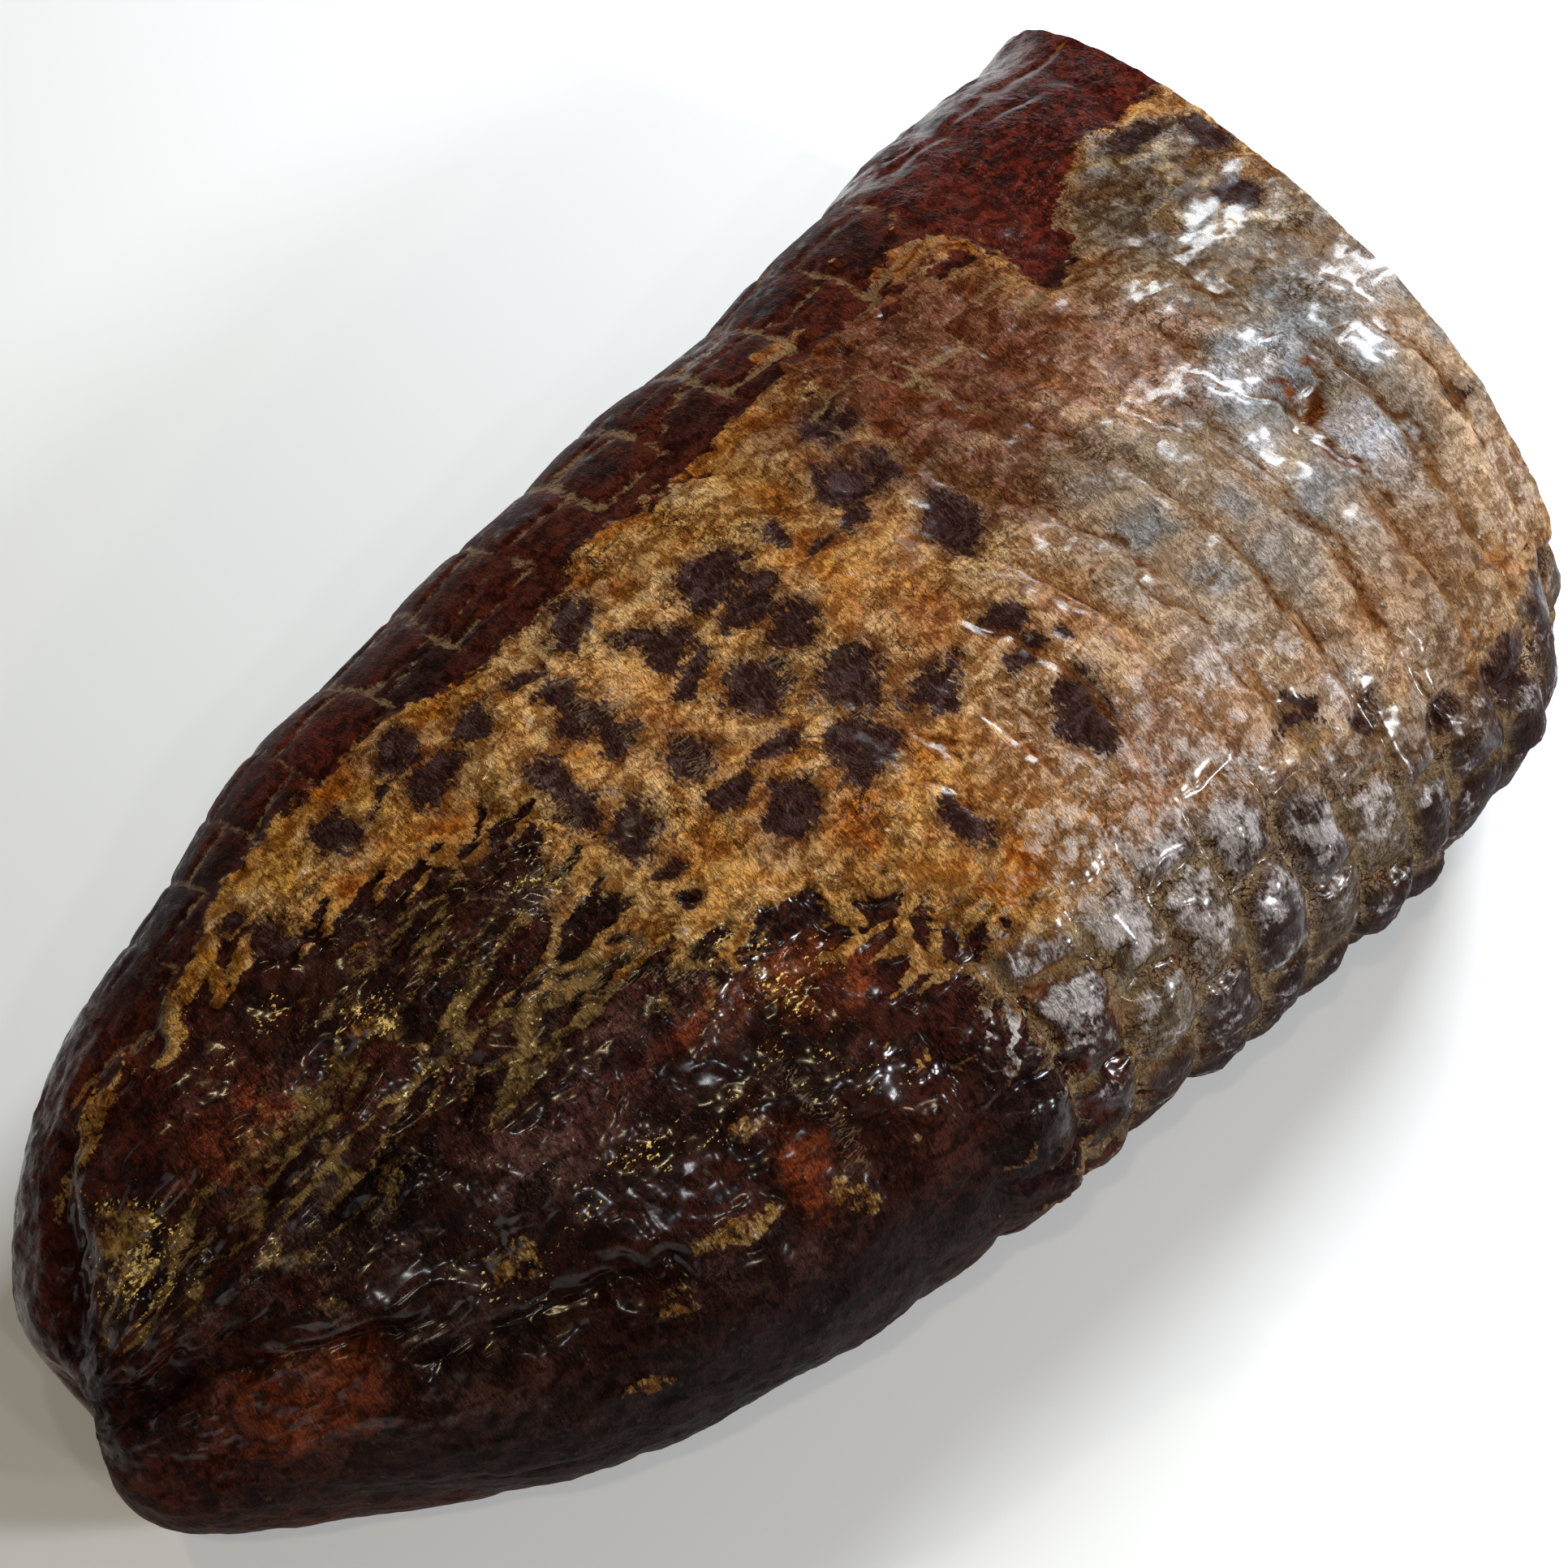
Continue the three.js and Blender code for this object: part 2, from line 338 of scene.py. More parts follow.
bundle_gap, bundle_shade = bundles(30)
seam = step(0.26, 0.0, bundle_gap + 0.1 * wander(3.5, 34, octaves=2))
seam_ramp = falling(bundle_gap, SEAM_REACH)

# Fat covers the piece above this edge on the lean side, as places along and angles
LEAN_EDGE = [
    (-176, 25), (-150, 30), (-140, 36), (-125, 47), (-112, 40), (-90, 37), (-70, 41), (-50, 44),
    (-30, 48), (-5, 46), (20, 47), (40, 45), (60, 42), (99, 42), (102, 60), (110, 58), (118, 46),
    (125, 42), (140, 39), (163, 37),
]

# Towards the nose the meat is bare. Where that starts, as angles and places along
BARE_EDGE = [
    (20, -134), (40, -130), (52, -118), (58, -90), (65, -72), (75, -62), (85, -55), (95, -58), (105, -60),
    (115, -55), (122, -35), (130, -22), (140, -20), (150, -12), (160, -10), (175, -5), (200, 0),
]

# Thin films of fat that are left on the bare meat: place, angle, half length and half width
FILMS = [
    (-115, 107, 20, 3), (-98, 144, 8, 2.5), (-74, 153, 14, 2), (-118, 162, 5, 3),
    (-110, 138, 4, 5), (-49, 150, 2, 9), (-30, 158, 9, 3.5), (-33, 147, 2, 9), (-24, 155, 2, 9),
    (-60, 168, 5, 3), (-101, 86, 5, 5), (-75, 112, 11, 3), (-86, 122, 3, 8), (-96, 103, 8, 2),
    (-118, 76, 7, 3), (-60, 116, 12, 3), (-152, 58, 7, 14), (-151, 78, 6, 12), (-155, 98, 6, 14),
    (-150, 36, 20, 7), (-128, 66, 5, 3), (-140, 90, 5, 3), (-66, 160, 4, 6), (-100, 168, 6, 4),
    (-84, 94, 9, 2.5),
]

# Scraps of fat on the bare meat: place, angle, half length and half width
SCRAPS = [
    (-152, 74, 7, 13), (-105, 144, 4, 5), (-99, 84, 3, 4), (-44, 124, 4, 4), (-148, 44, 12, 5),
    (-72, 154, 10, 2.5), (-88, 158, 6, 2.5), (-100, 168, 6, 3), (-52, 160, 4, 3), (-62, 144, 5, 2),
]

UNDER_EDGE = 206

thin_fat = step(5, 35, x) * step(102, 94, x)
above_lean = (astray_turn - np.interp(astray_x, *zip(*LEAN_EDGE))) * round_mm
under_fat = (UNDER_EDGE - astray_turn) * round_mm
bare_gap = astray_x - np.interp(astray_turn, *zip(*BARE_EDGE))
strands = wander(7, 5, stretch=2.6) + 0.6 * wander(3, 6, stretch=2.0, octaves=2)
cover = bare_gap / 26 + 0.55 * strands + 0.9 * (seam - 0.45)
thinned = 0.5 * thin_fat * (strands + 0.8 * seam - 0.3)
fat = np.minimum(np.minimum(above_lean / (14 + 14 * thin_fat) + thinned, under_fat / 14), cover)
fat = np.clip(np.maximum(fat + 0.5, 0.52 * patches(SCRAPS) + 0.12 * strands), 0, 1)
seam_places = near(turn, 100, 70) * step(0, -40, x) * step(-178, -160, x)
seam_strength = 0.64 + 0.6 * wander(24, 35) + 0.3 * patches(FILMS) + 0.3 * step(-34, -6, bare_gap)
seam_strength = np.clip(seam_strength, 0.2, 1.2)
film = seam_ramp * seam_strength * seam_places + 0.08 * patches(FILMS) + 0.05 * strands
film = np.clip(film, 0, 1) * step(20, 34, turn) * step(200, 180, turn) * step(0, -30, x)

# Dark dried ovals in the fat: place, angle, half length and half width in degrees
OVALS = [
    (5, 66, 7, 5), (7, 75, 6, 3), (9, 84, 5, 4), (-5, 88, 6, 5), (9, 99, 6, 6), (2, 111, 6, 5),
    (20, 111, 5, 4), (38, 109, 3, 3), (36, 116, 4, 2), (45, 118, 2, 1.5), (41, 128, 5, 4),
    (37, 132, 4, 3), (7, 131, 4, 3), (44, 57, 4, 4), (38, 68, 5, 4), (46, 70, 3, 4),
    (33, 75, 3, 2), (25, 75, 3, 2), (47, 86, 5, 6), (20, 66, 2, 2), (-20, 53, 5, 4),
    (-33, 55, 4, 2), (-46, 56, 4, 2), (-60, 49, 5, 3), (-57, 58, 5, 4), (-78, 49, 4, 4),
    (-68, 52, 3, 1), (-32, 63, 4, 3), (-32, 70, 6, 4), (-14, 64, 4, 2), (-10, 69, 5, 4),
    (-44, 76, 3, 5), (-44, 84, 3, 4), (-30, 78, 4, 3), (-12, 77, 5, 2), (-23, 90, 4, 4),
    (-40, 95, 4, 4), (-63, 85, 7, 7), (-22, 102, 5, 3), (-10, 100, 5, 3), (-40, 105, 3, 2),
    (-18, 112, 5, 4), (-41, 113, 2, 1), (-98, 55, 3, 5), (-103, 45, 4, 2), (150, 64, 4, 4),
    (157, 49, 4, 5), (145, 43, 6, 2), (74, 149, 4, 2), (156, 132, 3, 3), (88, 154, 3, 2),
    (126, 165, 7, 3), (104, 162, 4, 2), (150, 166, 7, 3),
]
OVAL_FALL = 0.42
oval = np.max([np.clip(1 - OVAL_FALL * away_from(*spot), 0, 1) for spot in OVALS], axis=0)

# On the fat side's wall the pillows between the hoops and threads dried dark on their tops,
# from these angles down, given with places along
wall = step(-4, 5, astray_turn - wall_start) * step(225, 205, turn) * step(-30, -8, x)
wall_top = wall * step(0.5, 3.5, np.minimum(hoop_gap, thread_gap) + 1.5 * wander(5, 15))

# Creases where hoops, threads and folds pressed deepest, each as places and angles on its way
CREASES = [
    [(115, 104), (119, 111), (124, 118), (125, 127), (124, 138)],
    [(124, 118), (129, 112), (136, 103)],
    [(63, 92), (65, 102), (67, 112), (68, 122), (69, 135), (71, 148)],
    [(66, 55), (68, 63), (70, 72), (74, 81), (78, 87)], [(50, 71), (53, 79), (56, 87), (61, 95)],
    [(111, 78), (111, 88), (113, 100)], [(128, 74), (129, 86), (128, 97)],
    [(104, 104), (105, 122), (104, 140), (105, 157)], [(137, 120), (139, 130), (138, 143)],
    [(151, 108), (153, 118), (156, 126), (155, 142)], [(86, 132), (88, 143), (90, 155)],
    [(0, 123), (6, 124), (11, 128), (15, 134)], [(9, 108), (11, 116), (14, 123)],
    [(29, 118), (31, 126), (31, 135)], [(72, 147), (74, 151), (80, 153), (88, 154)],
    [(7, 147), (12, 149), (18, 149), (21, 145)], [(2, 137), (4, 142), (7, 148)],
    [(92, 60), (100, 60), (108, 60), (120, 60), (134, 62)], [(102, 42), (102, 50), (103, 60)],
]
FINE_CREASES = [
    [(67, 121), (72, 125), (80, 127), (88, 126), (98, 124)], [(52, 133), (54, 139), (57, 143)],
    [(20, 38), (35, 34), (50, 31), (62, 31)], [(25, 29), (40, 28), (60, 27)],
    [(64, 44), (80, 42), (100, 41)], [(5, 25), (12, 26), (20, 30)],
    [(105, 22), (115, 24), (125, 22), (145, 22), (160, 22)],
    [(-158, 26), (-145, 32), (-135, 38), (-125, 44)], [(-52, 34), (-40, 36), (-20, 33)],
]

# Deep folds between the lobes of the nose
FOLDS = [
    [(-174, 112), (-167, 121), (-155, 128), (-143, 134), (-131, 140), (-119, 145)],
    [(-170, 74), (-163, 62), (-157, 48), (-148, 38)], [(-154, 96), (-148, 97), (-143, 95)],
    [(-125, 150), (-112, 153), (-98, 152), (-84, 155)],
]
FOLD_DEPTH = 2.6
FOLD_WIDTH = 3.2

# Thin pale veins of membrane that stand proud of the fat
VEINS = [
    [(-41, 58), (-44, 66), (-46, 74), (-47, 82), (-48, 88)], [(-33, 57), (-28, 61), (-24, 66)],
    [(-30, 66), (-34, 73)], [(-26, 70), (-27, 76), (-30, 83)], [(-50, 64), (-47, 60)],
    [(-23, 80), (-21, 90), (-22, 98)], [(-17, 56), (-19, 62), (-16, 68)],
    [(-32, 90), (-36, 97), (-34, 104)], [(2, 88), (-2, 94), (0, 101), (6, 105)],
    [(-62, 112), (-56, 118), (-51, 127)], [(-50, 142), (-50, 150), (-47, 157)],
    [(-10, 148), (-9, 155), (-6, 163), (-4, 172)], [(17, 62), (20, 70), (18, 78)],
]

# How far the colour of each kind of mark reaches from its middle
MARK_REACH = 4
FINE_REACH = 3
VEIN_REACH = 7
folded_in = np.exp(-((line_gap(FOLDS) / FOLD_WIDTH) ** 2))

# The hoops show best on the fat cap and on the lean side, and hardly on the bare meat
patchy = 0.5 + 0.9 * wander(24, 8)
on_cap = step(96, 112, turn) * step(200, 170, turn) * step(-12, 30, x)
on_top = near(turn, 75, 25) * step(45, 60, x)
hoop_strength = 0.15 + 0.8 * on_cap + 0.75 * on_lean * (0.75 + 0.25 * step(0, 24, turn))
hoop_strength = np.clip(hoop_strength + 0.3 * on_top + 0.8 * on_wall, 0, 1)
hoop_strength *= np.clip(0.75 + patchy * 0.5, 0, 1)
on_mauve = near(turn, 58, 26) * step(25, 45, x) * step(104, 96, x)
hoop_strength = np.maximum(hoop_strength, 0.85 * on_mauve)
lean_strength = (0.72 + 0.3 * patchy) * (0.55 + 0.45 * step(0, 24, turn))
thread_strength = np.clip(0.9 * on_wall + on_lean * lean_strength + 0.95 * on_mauve, 0, 1)
marks = [
    falling(hoop_gap, MARK_REACH) * hoop_strength,
    falling(thread_gap, MARK_REACH) * thread_strength,
    falling(line_gap(CREASES), MARK_REACH),
    falling(line_gap(FINE_CREASES), FINE_REACH) * 0.85,
]
net = np.max(marks, axis=0) * step(-165, -140, x) * (1 - 0.25 * on_wall)
light_net = np.maximum(np.maximum(on_mauve, on_lean), on_wall)
vein = falling(line_gap(VEINS), VEIN_REACH)

# Fat and meat rose in soft lumps and sank along the net
SUNK_WIDTH = 3.2
lumps = wander(13, 21) + 0.5 * wander(5, 22)
sunk = np.exp(-((cell_gap / SUNK_WIDTH) ** 2)) * np.clip(hoop_strength + thread_strength, 0, 1)
rise = lumps - 0.5 * sunk

# Fine relief: grooves of the net, the step of the fat's edge, sunken ovals, strands and crinkles
fatness = step(0.35, 0.65, fat)
bareness = (1 - fatness) * near(turn, 110, 85) * step(0, -40, x)
fine = (
    -0.6 * step(0.3, 0.95, net)
    + 0.8 * (fatness - 0.5)
    - 0.35 * step(0.3, 0.75, oval) * (1 - wall)
    + (1 - 0.7 * on_lean) * (0.55 * lumps + 0.3 * (0.25 - np.abs(wander(6, 10))))
    + bareness * (1.6 * np.minimum(bundle_gap, 0.7) - 0.6 + 0.5 * wander(9, 11, stretch=2.0))
)
fine += (0.16 + 0.12 * bareness) * wander(3.4, 37, octaves=2) * (1 - 0.4 * on_lean)
pillow = np.sqrt(np.clip(cell_gap / 7, 0, 1)) - 0.6
fine += pillow * 1.8 * wall - 0.35 * net_relief * on_cap * (1 - wall)
on_nose = step(-105, -140, x) * step(0, 30, turn) * step(190, 160, turn)
fine += (0.6 * on_nose + 0.4 * bareness) * wander(6, 38, stretch=1.5)
fine -= FOLD_DEPTH * folded_in
fine -= 0.5 * np.mean(fine)

along = np.gradient(coarse, axis=0)
around = np.gradient(coarse, axis=1)
normals = np.cross(around, along)
normals /= np.maximum(np.linalg.norm(normals, axis=2, keepdims=True), 1e-9)
outward = np.sign(np.sum(normals * (coarse - [0, 0, 45]), axis=2).mean())
dome = nose_dome(x)[1]
skin = coarse + outward * normals * (fine * dome)[..., None]
skin[..., 2] = np.maximum(0, skin[..., 2])
tip = skin[0].mean(axis=0)

# The form stands where the frame's own solid does
form_low = skin.min(axis=(0, 1))
form_high = skin.max(axis=(0, 1))
shift = np.mean(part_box("cecina"), axis=0) / MM - (form_low + form_high) / 2
shift[2] = 0


def colour(red, green, blue):
    """A colour as a screen shows it, 0 to 255, turned into the light that a surface gives back."""
    shares = [value / 255 for value in (red, green, blue)]
    return [s / 12.92 if s <= 0.04045 else ((s + 0.055) / 1.055) ** 2.4 for s in shares]


GOLDEN = colour(172, 125, 66)
RUSTY = colour(142, 88, 44)
MUSTARD = colour(158, 114, 50)
OCHRE = colour(150, 114, 65)
BEIGE = colour(139, 119, 101)
PEACH = colour(174, 147, 124)
GREY_BEIGE = colour(112, 98, 84)
FLAP_GREY = colour(76, 70, 67)
BLUE_GREY = colour(116, 122, 130)
# A silvery white, laid on as painted highlight where the wet fat shines
SILVER_HIGHLIGHT = colour(176, 176, 186)
MAUVE_BROWN = colour(96, 57, 40)
PINKISH = colour(152, 114, 94)
MAUVE_GREY = colour(104, 84, 74)
OLIVE = colour(104, 82, 42)
THIN_OLIVE = colour(112, 84, 44)
LILAC = colour(112, 98, 96)
SLATE = colour(44, 33, 34)
AMBER_PIT = colour(98, 52, 18)
FILM_GOLD = colour(126, 104, 54)

# The colours of the fat, laid on in turn: each with its patches, as place along, angle, half
# length, half angle and strength
FAT_COLOURS = [
    (OCHRE, (15, 57, 30, 12, 0.8)),
    (BEIGE, (100, 128, 62, 48, 1)),
    (GREY_BEIGE, (132, 85, 46, 32, 1)),
    (MAUVE_BROWN, (68, 62, 36, 28, 1)),
    (PINKISH, (98, 84, 20, 14, 0.7)),
    (MAUVE_BROWN, (56, 88, 16, 12, 0.7)),
    (GREY_BEIGE, (128, 128, 32, 16, 0.8)),
    (BLUE_GREY, (120, 102, 14, 12, 0.9), (147, 94, 15, 11, 0.9), (113, 131, 11, 7, 0.8),
     (131, 132, 8, 8, 0.8), (150, 116, 9, 7, 0.7), (95, 132, 8, 5, 0.6), (134, 63, 8, 5, 0.7)),
    (FLAP_GREY, (134, 52, 22, 11, 0.9)),
    (BLUE_GREY, (145, 44, 12, 4, 0.8), (72, 112, 7, 5, 0.5)),
    # Painted highlight on the cap
    (SILVER_HIGHLIGHT, (119, 100, 11, 7, 0.8), (129, 126, 8, 8, 0.7)),
    (BEIGE, (158, 120, 13, 38, 0.8)),
    # More painted highlight on the cap
    (SILVER_HIGHLIGHT, (158, 98, 8, 8, 0.6), (146, 112, 7, 6, 0.5), (108, 118, 6, 4, 0.5)),
    (GREY_BEIGE, (78, 96, 12, 9, 0.6)),
    (PEACH, (120, 142, 36, 10, 0.5), (155, 130, 10, 26, 0.4), (104, 122, 16, 12, 0.3),
     (78, 146, 14, 8, 1), (100, 148, 10, 8, 0.8), (28, 150, 14, 7, 0.7), (58, 136, 10, 12, 0.6)),
    # Painted highlight: white glints on the fat above the wall
    (SILVER_HIGHLIGHT, (70, 134, 7, 6, 0.3), (88, 148, 6, 4, 0.6), (44, 148, 6, 4, 0.6), (24, 146, 6, 4, 0.5),
     (158, 148, 6, 12, 0.2)),
    (PEACH, (36, 142, 18, 11, 0.9)),
    (GREY_BEIGE, (124, 148, 13, 8, 0.8)),
    (PEACH, (42, 126, 24, 15, 0.7)),
    (BEIGE, (14, 104, 14, 12, 0.4)),
    (RUSTY, (62, 142, 9, 5, 0.3)),
    (PINKISH, (42, 138, 10, 10, 0.7), (118, 146, 14, 6, 0.5)),
    (RUSTY, (-28, 86, 14, 10, 0.6), (-12, 118, 12, 8, 0.5), (24, 96, 10, 14, 0.5)),
    (MUSTARD, (-96, 47, 30, 10, 1), (-60, 49, 24, 8, 0.9)),
    (OCHRE, (-24, 51, 26, 5, 0.9), (-52, 68, 8, 14, 0.5)),
    (OLIVE, (-120, 106, 60, 20, 1), (-110, 150, 80, 24, 0.8)),
    (FILM_GOLD, (-152, 76, 12, 36, 0.9), (-105, 144, 8, 8, 0.9), (-72, 154, 12, 5, 0.8)),
    (LILAC, (45, 170, 66, 20, 0.9)),
    (GREY_BEIGE, (30, 156, 26, 6, 0.6)),
    (SLATE, (60, 190, 80, 17, 0.9)),
    (MAUVE_BROWN, (-2, 160, 12, 12, 0.7)),
    (SLATE, (120, 176, 40, 9, 0.9)),
    (MAUVE_GREY, (128, 166, 20, 4, 0.8)),
    (BEIGE, (124, 149, 12, 8, 0.7)),
]

LEAN = colour(62, 27, 17)
DARK_MEAT = colour(42, 20, 14)
RED_LEAN = colour(74, 27, 18)
RED_BROWN = colour(80, 38, 23)
PLUM = colour(58, 34, 32)
BLACK_PLUM = colour(30, 17, 15)
STRIP_RED = colour(104, 52, 26)
BLUE_BLACK = colour(26, 19, 21)

# The colours of the bare meat, laid on in turn in the same way
MEAT_COLOURS = [
    (DARK_MEAT, (-80, 115, 90, 76, 1)),
    (RED_LEAN, (134, 25, 36, 60, 1), (-68, 32, 12, 8, 0.5)),
    (RED_BROWN, (-128, 83, 14, 11, 1), (-108, 88, 12, 8, 0.4)),
    (BLACK_PLUM, (-128, 134, 7, 9, 0.8)),
    (STRIP_RED, (-146, 143, 14, 13, 0.65)),
    (PLUM, (-76, 126, 22, 10, 1)),
    (BLACK_PLUM, (-116, 122, 14, 13, 1)),
    (STRIP_RED, (-44, 131, 16, 3.5, 0.9), (-32, 137, 10, 3, 0.8), (-57, 153, 4, 8, 0.7),
     (-118, 163, 8, 5, 0.5)),
    (BLACK_PLUM, (-46, 38, 8, 5, 0.8), (-112, 24, 14, 14, 0.7), (118, 58, 20, 4, 0.8),
     (-100, 176, 70, 18, 0.9), (-120, 150, 16, 10, 0.7)),
    (BLUE_BLACK, (-62, 176, 60, 11, 0.7), (-16, 164, 9, 10, 0.8), (-119, 164, 8, 5, 0.7)),
    (BLACK_PLUM, (-134, 133, 7, 6, 0.6)),
]


def toned(colours, tone, share):
    return colours + share[..., None] * (np.array(tone) - colours)


def tinted(colours, tint, share):
    return colours * (1 + share[..., None] * (np.array(tint) - 1))


def laid_on(ground, coats):
    """The colour at every point of the skin, from a ground colour and coats laid over it."""
    result = np.array(ground)
    for coat, *spots in coats:
        for *spot, strength in spots:
            result = toned(result, coat, strength * patch(*spot, soft=0.45))
    return result


def stained(colours, stains):
    """The colours after some stains, each with its kind, its colour and its share at each point."""
    for kind, stain, share in stains:
        colours = kind(colours, stain, share)
    return colours


# Amber darkening of the fat where it sank, as painted shade
AMBER_SHADE_TINT = (0.76, 0.54, 0.28)
RUST_TINT = (0.8, 0.5, 0.3)
# Cream laid on the fat where it rose, as painted highlight
CREAM_HIGHLIGHT = colour(204, 176, 132)
GREY_TAN = colour(100, 84, 62)
TOP_PLUM = colour(32, 19, 24)
TOP_TAN = colour(122, 106, 82)
WALL_OLIVE = colour(128, 108, 82)
OVAL_STAIN = colour(92, 72, 60)
HALO = colour(186, 154, 112)
# Darkens dark bundles, and the nose's folds as painted shade
DARK_BUNDLE_AND_SHADE_TINT = (0.45, 0.38, 0.34)
LOW_TINT = (0.4, 0.33, 0.32)
RED_TINT = (1.35, 1.0, 0.85)
# Dust with painted sheen on the bare meat
DUST_AND_SHEEN_TONE = colour(88, 68, 64)
DRIED_BLACK = colour(36, 20, 18)

# Pits in the cap where the fat is thick and brown: place, angle, half length and half width
PITS = [(125, 117, 2.2, 3.5), (122, 110, 1.2, 5), (124, 126, 1.2, 5), (130, 109, 3, 1.2)]

# Fat is amber where it sank, as painted shade, and cream where it rose, as painted highlight, with rusty
# and grey stains; meat is near black in dark bundles and, as painted shade, in the nose's folds, and
# redder in places
pale_from = 40 - 26 * step(120, 140, turn)
on_pale = step(0, 40, x - pale_from) * near(turn, 116, 58)
cell_even = np.minimum(hoop_gap, thread_gap) + 1.8 * wander(6, 28)
centred = step(1.5, 6.5, cell_even)
off_mauve = 1 - 0.85 * on_mauve
grey_cells = step(0.5, 0.9, 1 - cell_shade) * (1 - wall) * off_mauve
blotched = patch(38, 139, 34, 14) * step(0.1, 0.4, wander(4.5, 41, octaves=4))
thinning = step(0.75, 0.05, cover) * step(50, 20, x) * step(30, 50, turn)
halo = step(0.02, 0.2, oval) * step(0.42, 0.3, oval) * step(-0.2, 0.4, wander(9, 40))
rusty = step(0.15, 0.5, wander(8, 23, octaves=4))
greyed = step(0.1, 0.5, wander(9, 24, octaves=4))
dust_and_sheen = step(0.05, 0.5, wander(11, 29, octaves=4))
top_colour = toned(np.array(TOP_PLUM), TOP_TAN, 0.5 * step(0.8, 0.62, cell_swell))
fat_colour = stained(laid_on(GOLDEN, FAT_COLOURS), [
    # Painted shade: amber where the relief sank
    (tinted, AMBER_SHADE_TINT, step(0.05, 0.6, -rise) * (1 - 0.75 * on_pale)),
    (toned, WALL_OLIVE, wall * step(2.0, 0.5, cell_even)),
    # Painted highlight: cream where the relief rose
    (toned, CREAM_HIGHLIGHT, 0.28 * step(0.1, 0.6, rise) * (1 - 0.5 * on_pale) * off_mauve),
    (tinted, RUST_TINT, (0.5 - 0.4 * on_pale) * rusty),
    (toned, GREY_TAN, (0.28 - 0.18 * on_pale) * off_mauve * greyed),
    (toned, BLUE_GREY, 0.6 * centred * step(0.45, 0.8, cell_shade) * on_pale),
    (toned, MAUVE_GREY, 0.35 * centred * grey_cells),
    (toned, MAUVE_BROWN, 0.32 * blotched),
    (toned, THIN_OLIVE, 0.65 * thinning),
    (toned, AMBER_PIT, patches(PITS)),
    (toned, HALO, 0.45 * halo),
    (toned, OVAL_STAIN, 0.5 * step(0.25, 0.45, oval)),
    (toned, top_colour, 0.92 * wall_top),
    (tinted, LOW_TINT, step(176, 194, turn) * step(-40, -10, x)),
])
meat_colour = stained(laid_on(LEAN, MEAT_COLOURS), [
    (tinted, DARK_BUNDLE_AND_SHADE_TINT, step(0.6, 0.3, bundle_shade) * bareness),
    (tinted, RED_TINT, 0.6 * step(0.7, 0.9, bundle_shade) * bareness),
    # Painted shade in the folds of the nose
    (tinted, DARK_BUNDLE_AND_SHADE_TINT, folded_in),
    (toned, DRIED_BLACK, on_lean * centred * step(0.4, 0.8, cell_shade) * 0.7),
    # Patches of dust and painted sheen
    (toned, DUST_AND_SHEEN_TONE, 0.3 * dust_and_sheen * bareness),
])

# Salt and fat frost the tops of the pillows; painted highlight is added where they face up and on the fat
# just above them
facing_up = step(0.35, 0.85, outward * normals[..., 2])
frost_and_highlight_noise = wander(7, 27, octaves=4)
frost_and_highlight = wall_top * (0.06 + 0.55 * facing_up + 0.4 * frost_and_highlight_noise)
frost_and_highlight += 0.32 * (1 - wall_top) * patch(46, 141, 42, 13) * (1 + frost_and_highlight_noise)

# How wet the surface looks: the fat cap and the deep creases shine most
WET_PATCHES = [
    (119, 99, 9, 8), (115, 119, 7, 8), (158, 96, 8, 8), (141, 66, 9, 5), (98, 130, 10, 5),
    (146, 112, 7, 6), (128, 47, 8, 5), (132, 30, 26, 12), (60, 94, 8, 4), (70, 143, 30, 8),
    (30, 148, 26, 8), (24, 126, 8, 6), (96, 148, 10, 8), (96, 160, 10, 4), (60, 162, 8, 4),
    (20, 162, 8, 4), (-42, 123, 6, 6), (-42, 148, 10, 8), (-105, 145, 7, 8), (-97, 85, 7, 7),
    (-152, 76, 10, 30), (-114, 63, 10, 6), (-40, 134, 18, 6), (-5, 122, 7, 4),
    (134, 46, 20, 5), (-57, 88, 6, 6), (-75, 141, 30, 5), (-118, 162, 6, 4), (12, 132, 6, 6),
]
wet = 0.2 + 0.48 * patches(WET_PATCHES) + 0.2 * (1 - fatness) + 0.3 * wander(12, 13)
wet += 0.25 * wander(4, 36) + 0.1 * on_cap
low_down = step(168, 186, turn + 18 * step(0, -30, x))
wet = np.clip(wet, 0, 1) * (1 - 0.5 * on_lean) * (1 - 0.9 * low_down)

# How much the surface crinkled: little on the lean side and the cap, most on the wall and the
# bare meat
on_bare = bareness * step(60, 75, turn)
wrinkling = 0.5 - 0.35 * on_lean - 0.15 * on_cap + 0.6 * wall + 0.35 * on_bare
wrinkling += 0.45 * patch(132, 30, 30, 14)
wrinkling = np.clip(wrinkling * (1 + 1.2 * wander(11, 26)), 0.05, 1.3)


def add_object(name, data):
    """A new object in the scene."""
    made = bpy.data.objects.new(name, data)
    bpy.context.scene.collection.objects.link(made)
    return made


def make_mesh(name, corners, faces):
    """A smooth-shaded piece from corners in mm round the stations' own axis."""
    mesh = bpy.data.meshes.new(name)
    mesh.from_pydata(((corners + shift) * MM).tolist(), [], faces)
    mesh.polygons.foreach_set("use_smooth", [True] * len(mesh.polygons))
    mesh.update()
    return add_object(name, mesh)


def ring_faces(ring_count, first=0):
    """Quads between rings of points, each joined round to its own start."""
    faces = []
    for row in range(ring_count - 1):
        for column in range(COLUMNS):
            following = (column + 1) % COLUMNS
            low = first + row * COLUMNS
            high = low + COLUMNS
            faces.append((low + column, low + following, high + following, high + column))
    return faces


tip_faces = [(0, 1 + (column + 1) % COLUMNS, 1 + column) for column in range(COLUMNS)]
skin_corners = np.vstack([tip, skin.reshape(-1, 3)])
cured_skin = make_mesh("cured_skin", skin_corners, tip_faces + ring_faces(len(rows), first=1))


